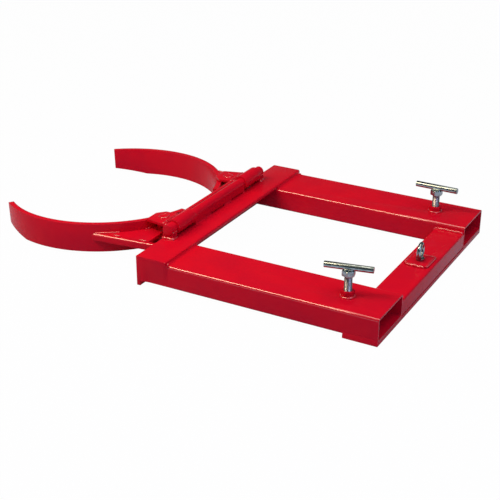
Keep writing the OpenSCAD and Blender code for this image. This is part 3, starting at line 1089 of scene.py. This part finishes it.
@dataclass
class Carriage(SteelWork):
    """The carriage: its back plate, knuckles, ears and pivot pins.

    Attributes:
        axes: The carriage's own axes.
        ease_mm: Width of the eased edges by the kind of piece.
    """

    axes: LocalFrame
    ease_mm: Sequence[tuple[str, float]] = (("knuckle", 0.9), ("upper_ear", 1.5), ("lower_ear", 0.9),
                                            ("pivot_pin", 0.8))

    @property
    def body(self) -> str:
        """The CAD body that the carriage rides on."""
        return "carriage"

    def build(self) -> None:
        """Makes the carriage's pieces and welds."""
        self.steel("carriage_back_plate", 0.9)
        for side in Side:
            for kind, ease_mm in self.ease_mm:
                self.steel(f"{side.word}_{kind}", ease_mm)
            self._welds(side)

    def _welds(self, side: Side) -> None:
        """Runs the welds of one pair of ears, its pin and its knuckle.

        Args:
            side: The side of the grab that it is on.
        """
        word, s = side.word, side.value
        pin_low, pin_high = self.axes.box(f"{word}_pivot_pin")
        ear_low, ear_high = self.axes.box(f"{word}_upper_ear")
        knuckle_low, knuckle_high = self.axes.box(f"{word}_knuckle")
        plate = self.axes.box("carriage_back_plate")[1]
        across = self.axes.place.to_3x3() @ Vector((1, 0, 0))
        pin = self.axes.point((pin_low.x + pin_high.x) / 2, (pin_low.y + pin_high.y) / 2, ear_high.z)
        ring = arc_points(pin, (pin_high.x - pin_low.x) / 2 * MM, 0, 350, across, Vector((0, 1, 0)), 40)
        self.weld(f"{word}_pin_weld",
                  WeldBead(ring, radius_mm=2.6, ripple_mm=5.0, rough=0.8, seed=130 + s, closed=True))
        seam = [self.axes.point(ear_high.x, y, ear_high.z - 0.5) for y in (ear_low.y + 2, ear_high.y - 2)]
        self.weld(f"{word}_ear_weld", WeldBead(seam, radius_mm=3.2, ripple_mm=7.0, rough=0.9, seed=140 + s))
        seam = [self.axes.point(plate.x, y, plate.z - 1) for y in (knuckle_low.y + 1, knuckle_high.y - 1)]
        self.weld(f"{word}_knuckle_weld",
                  WeldBead(seam, radius_mm=3.6, ripple_mm=7.0, rough=0.6, seed=150 + s))


@dataclass
class Jaw(SteelWork):
    """One curved jaw with its barrel, heel plate and heel bar.

    Attributes:
        side: The side of the grab that it is on.
        axes: The carriage's own axes.
        ease_mm: Width of the eased edges by the kind of piece.
        stitches_deg: Start and end of each stitch between the jaw and the heel plate, round the jaw.
        bar_stitches_mm: Start and end of each stitch along the heel bar, from the bar's rear end.
    """

    side: Side
    axes: LocalFrame
    ease_mm: Sequence[tuple[str, float]] = (("jaw", 2.2), ("barrel", 0.8), ("heel_plate", 0.7),
                                            ("heel_bar", 2.2))
    stitches_deg: Sequence[tuple[float, float]] = ((52.0, 64.0), (36.0, 39.5))
    bar_stitches_mm: Sequence[tuple[float, float]] = ((34, 58), (118, 138))

    @property
    def body(self) -> str:
        """The CAD body that the jaw rides on."""
        return f"{self.side.word}_grab_jaw"

    def build(self) -> None:
        """Makes the jaw's pieces and its welds."""
        for kind, ease_mm in self.ease_mm:
            self.steel(f"{self.side.word}_{kind}", ease_mm, round_corners=kind == "heel_bar")
        self._stitch_welds()
        self._barrel_welds()

    def _ring(self) -> tuple[Vector, float]:
        """Centre and outer radius of the jaw's arc, in millimetres in the carriage's axes."""
        inverse = self.axes.place.inverted()
        points = [inverse @ v.co / MM for v in frame["nodes"][f"{self.side.word}_jaw"].data.vertices]
        top = max(p.z for p in points)
        rim = [p for p in points if p.z > top - 0.5]
        far = max(rim, key=lambda p: p.y * self.side.value)
        tip, root = (outermost(rim, find(rim, key=lambda p: p.x), self.side) for find in (min, max))
        return circle_through(tip, far, root)

    def _stitch_welds(self) -> None:
        """Runs the stitches along the jaw and along the heel bar."""
        word, s = self.side.word, self.side.value
        plate_high = self.axes.box(f"{word}_heel_plate")[1]
        bar_low, bar_high = self.axes.box(f"{word}_heel_bar")
        centre, radius = self._ring()
        z = plate_high.z + 0.5
        for number, (start, end) in enumerate(self.stitches_deg, 1):
            turns = [math.radians(start + (end - start) * i / 10) for i in range(11)]
            path = [self.axes.point(centre.x + (radius + 1) * math.cos(t),
                                    centre.y + s * (radius + 1) * math.sin(t), z) for t in turns]
            self.weld(f"{word}_jaw_stitch_{number}",
                      WeldBead(path, radius_mm=3.0, ripple_mm=5.5, rough=0.9, seed=160 + number + s))
        outer = bar_low.y if s < 0 else bar_high.y
        rear = Vector((bar_high.x, outer - s * 20, 0))
        front = Vector((bar_low.x, outer - s * 12, 0))
        along = (front - rear).normalized()
        for number, (start, end) in enumerate(self.bar_stitches_mm, 1):
            a, b = rear + along * start, rear + along * end
            path = [self.axes.point(a.x, a.y, z), self.axes.point(b.x, b.y, z)]
            self.weld(f"{word}_bar_stitch_{number}",
                      WeldBead(path, radius_mm=2.6, ripple_mm=5.5, rough=0.9, seed=170 + number + s))

    def _barrel_welds(self) -> None:
        """Runs the weld round the barrel on the heel plate, and those up the jaw."""
        word, s = self.side.word, self.side.value
        low, high = self.axes.box(f"{word}_barrel")
        plate_high = self.axes.box(f"{word}_heel_plate")[1]
        middle = (low + high) / 2
        radius = (high.x - low.x) / 2
        turns = [math.radians(20 + 75 * i / 10) for i in range(11)]
        path = [self.axes.point(middle.x + radius * math.cos(t), middle.y + s * radius * math.sin(t),
                                plate_high.z + 0.5) for t in turns]
        self.weld(f"{word}_barrel_stitch",
                  WeldBead(path, radius_mm=3.0, ripple_mm=5.5, rough=0.9, seed=180 + s))
        centre, ring = self._ring()
        reach = Vector((middle.x - centre.x, middle.y - centre.y, 0)).normalized()
        for name, turn in (("inner", -1), ("outer", 1)):
            tangent = Vector((-reach.y, reach.x, 0)) * turn * s
            foot = Vector((centre.x, centre.y, 0)) + reach * (ring + 1) + tangent * 8.5
            self.weld(f"{word}_barrel_seam_{name}", WeldBead(
                [self.axes.point(foot.x, foot.y, high.z - 3), self.axes.point(foot.x, foot.y, low.z + 3)],
                radius_mm=2.8, ripple_mm=6.0, rough=0.6, seed=190 + s))


def outermost(points: Sequence[Vector], end: Vector, side: Side) -> Vector:
    """Finds the point near an end of a jaw's rim that lies furthest out.

    Args:
        points: The rim's points.
        end: The end's own point.
        side: The jaw's side.

    Returns:
        The point.
    """
    near = [p for p in points if abs(p.x - end.x) < 25]
    return max(near, key=lambda p: p.y * side.value)


def circle_through(a: Vector, b: Vector, c: Vector) -> tuple[Vector, float]:
    """Works out the circle through three points, seen from above.

    Args:
        a: The first point.
        b: The second point.
        c: The third point.

    Returns:
        Its centre and its radius.
    """
    d = 2 * (a.x * (b.y - c.y) + b.x * (c.y - a.y) + c.x * (a.y - b.y))
    aa, bb, cc = (p.x ** 2 + p.y ** 2 for p in (a, b, c))
    x = (aa * (b.y - c.y) + bb * (c.y - a.y) + cc * (a.y - b.y)) / d
    y = (aa * (c.x - b.x) + bb * (a.x - c.x) + cc * (b.x - a.x)) / d
    return Vector((x, y, 0)), math.hypot(a.x - x, a.y - y)


# -------------------------------------------------------------------- studio


@dataclass(frozen=True)
class SoftBox:
    """A plain studio lamp: a soft rectangle aimed at the grab.

    Attributes:
        name: The lamp's name.
        towards: Direction from the grab to the lamp.
        distance: Distance of the lamp, in metres.
        size: Its size along the grab's length and across it, in metres.
        watts: Its power.
        colour: Its colour.
    """

    name: str
    towards: tuple[float, float, float]
    distance: float
    size: tuple[float, float]
    watts: float
    colour: str = "#FFFFFF"

    def build(self, target: Vector) -> None:
        """Hangs the lamp and aims it.

        Args:
            target: The point that it is aimed at.
        """
        data = bpy.data.lights.new(self.name, "AREA")
        data.shape = "RECTANGLE"
        data.size, data.size_y = self.size
        data.energy = self.watts
        data.color = linear(self.colour)[:3]
        lamp = bpy.data.objects.new(self.name, data)
        bpy.context.scene.collection.objects.link(lamp)
        way = Vector(self.towards).normalized()
        rise = way.cross(Vector((1, 0, 0))).normalized()
        lamp.location = target + way * self.distance
        lamp.rotation_mode = "QUATERNION"
        lamp.rotation_quaternion = Matrix((rise.cross(way), rise, way)).transposed().to_quaternion()


@dataclass(frozen=True)
class Studio:
    """A white paper floor, a pale horizon, soft boxes and the camera.

    Attributes:
        azimuth: Camera's azimuth round the grab, in degrees.
        elevation: Its height above the horizon, in degrees.
        roll: Its roll, in degrees.
        behind: Its distance behind the rear plate's edge, in metres.
        aside: Its Y, in metres.
        height: Its height over the floor, in metres.
        lens: Focal length, in millimetres on a 36 mm sensor.
        shift: Shift of the lens, as a share of the sensor.
        floor_size: Side of the paper floor, in metres.
        sky: Stops of the room's colour, by the sine of the height above the horizon.
        boxes: The lamps.
    """

    azimuth: float = 28.721
    elevation: float = 25.029
    roll: float = 0.277
    behind: float = 0.79886
    aside: float = -2.43710
    height: float = 1.26697
    lens: float = 78.73
    shift: tuple[float, float] = (-0.00306, 0.00324)
    floor_size: float = 60.0
    sky: tuple[tuple[float, str], ...] = (
        (0.0, "#98ACB4"), (0.06, "#8A9CA4"), (0.18, "#3E484C"), (1.0, "#3E484C"),
    )
    boxes: tuple[SoftBox, ...] = (
        SoftBox("key_box", (-0.385, -0.43, 0.80), 3.0, (2.3, 0.75), 72.0, "#FFDCB8"),
        SoftBox("top_box", (0.25, 0.10, 1.0), 3.2, (2.6, 2.6), 46.0, "#FFEAD8"),
        SoftBox("fill_box", (0.75, -0.35, 0.62), 3.4, (2.4, 1.6), 28.0, "#C4D0FF"),
    )

    def build(self) -> None:
        """Makes the floor, the lights, the world and the camera."""
        self._floor()
        self._world()
        for box in self.boxes:
            box.build(Vector((0, 0, 0.05)))
        self._camera()

    def _floor(self) -> None:
        """Lays the paper floor just under the grab."""
        half = self.floor_size / 2
        mesh = bpy.data.meshes.new("paper_floor")
        mesh.from_pydata([(-half, -half, 0), (half, -half, 0), (half, half, 0), (-half, half, 0)], [],
                         [(0, 1, 2, 3)])
        mesh.materials.append(StudioPaper().build())
        floor = bpy.data.objects.new("paper_floor", mesh)
        floor.location.z = -0.3 * MM
        bpy.context.scene.collection.objects.link(floor)

    def _world(self) -> None:
        """Makes a dim studio with a paler horizon, white where it is looked at."""
        world = bpy.data.worlds.new("studio")
        bpy.context.scene.world = world
        world.use_nodes = True
        tree = world.node_tree
        tree.nodes.clear()
        place = add_node(tree, "ShaderNodeTexCoord").outputs["Generated"]
        split = add_node(tree, "ShaderNodeSeparateXYZ", links={0: place})
        band = add_node(tree, "ShaderNodeValToRGB", links={"Fac": split.outputs["Z"]})
        set_ramp(band, [(stop, linear(colour)) for stop, colour in self.sky])
        room = add_node(tree, "ShaderNodeBackground", {"Strength": 1.0}, {"Color": band.outputs["Color"]})
        white = add_node(tree, "ShaderNodeBackground", {"Strength": 1.0, "Color": grey(1.0)})
        path = add_node(tree, "ShaderNodeLightPath")
        shown = add_node(tree, "ShaderNodeMixShader", links={0: path.outputs["Is Camera Ray"],
                                                             1: room.outputs["Background"],
                                                             2: white.outputs["Background"]})
        add_node(tree, "ShaderNodeOutputWorld", links={"Surface": shown.outputs[0]})

    def _camera(self) -> None:
        """Sets up the camera."""
        data = bpy.data.cameras.new("camera")
        data.lens, data.sensor_width = self.lens, 36.0
        data.shift_x, data.shift_y = self.shift
        data.clip_start, data.clip_end = 0.05, 100.0
        camera = bpy.data.objects.new("camera", data)
        bpy.context.scene.collection.objects.link(camera)
        a, e = math.radians(self.azimuth), math.radians(self.elevation)
        back = Vector((math.sin(a) * math.cos(e), -math.cos(a) * math.cos(e), math.sin(e)))
        camera.location = (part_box("rear_plate")[1].x + self.behind, self.aside, self.height)
        camera.rotation_mode = "QUATERNION"
        camera.rotation_quaternion = back.to_track_quat("Z", "Y") @ Matrix.Rotation(
            math.radians(self.roll), 4, "Z").to_quaternion()
        bpy.context.scene.camera = camera


def main() -> None:
    """Builds the grab, sub-assembly by sub-assembly, and the studio round it."""
    logging.basicConfig(level=logging.INFO, format="%(name)s: %(message)s")
    finishes = Finishes.make()
    axes = LocalFrame.of_carriage()
    assemblies = [PocketFrame(finishes), HingeAxle(finishes), SafetyEye(finishes), Carriage(finishes, axes)]
    assemblies += [ClampScrew(finishes, side) for side in Side]
    assemblies += [Jaw(finishes, side, axes) for side in Side]
    for assembly in assemblies:
        log.info("building %s", type(assembly).__name__)
        assembly.build()
    Studio().build()
    bpy.context.scene.view_settings.view_transform = "Standard"


if __name__ == "__main__":
    main()
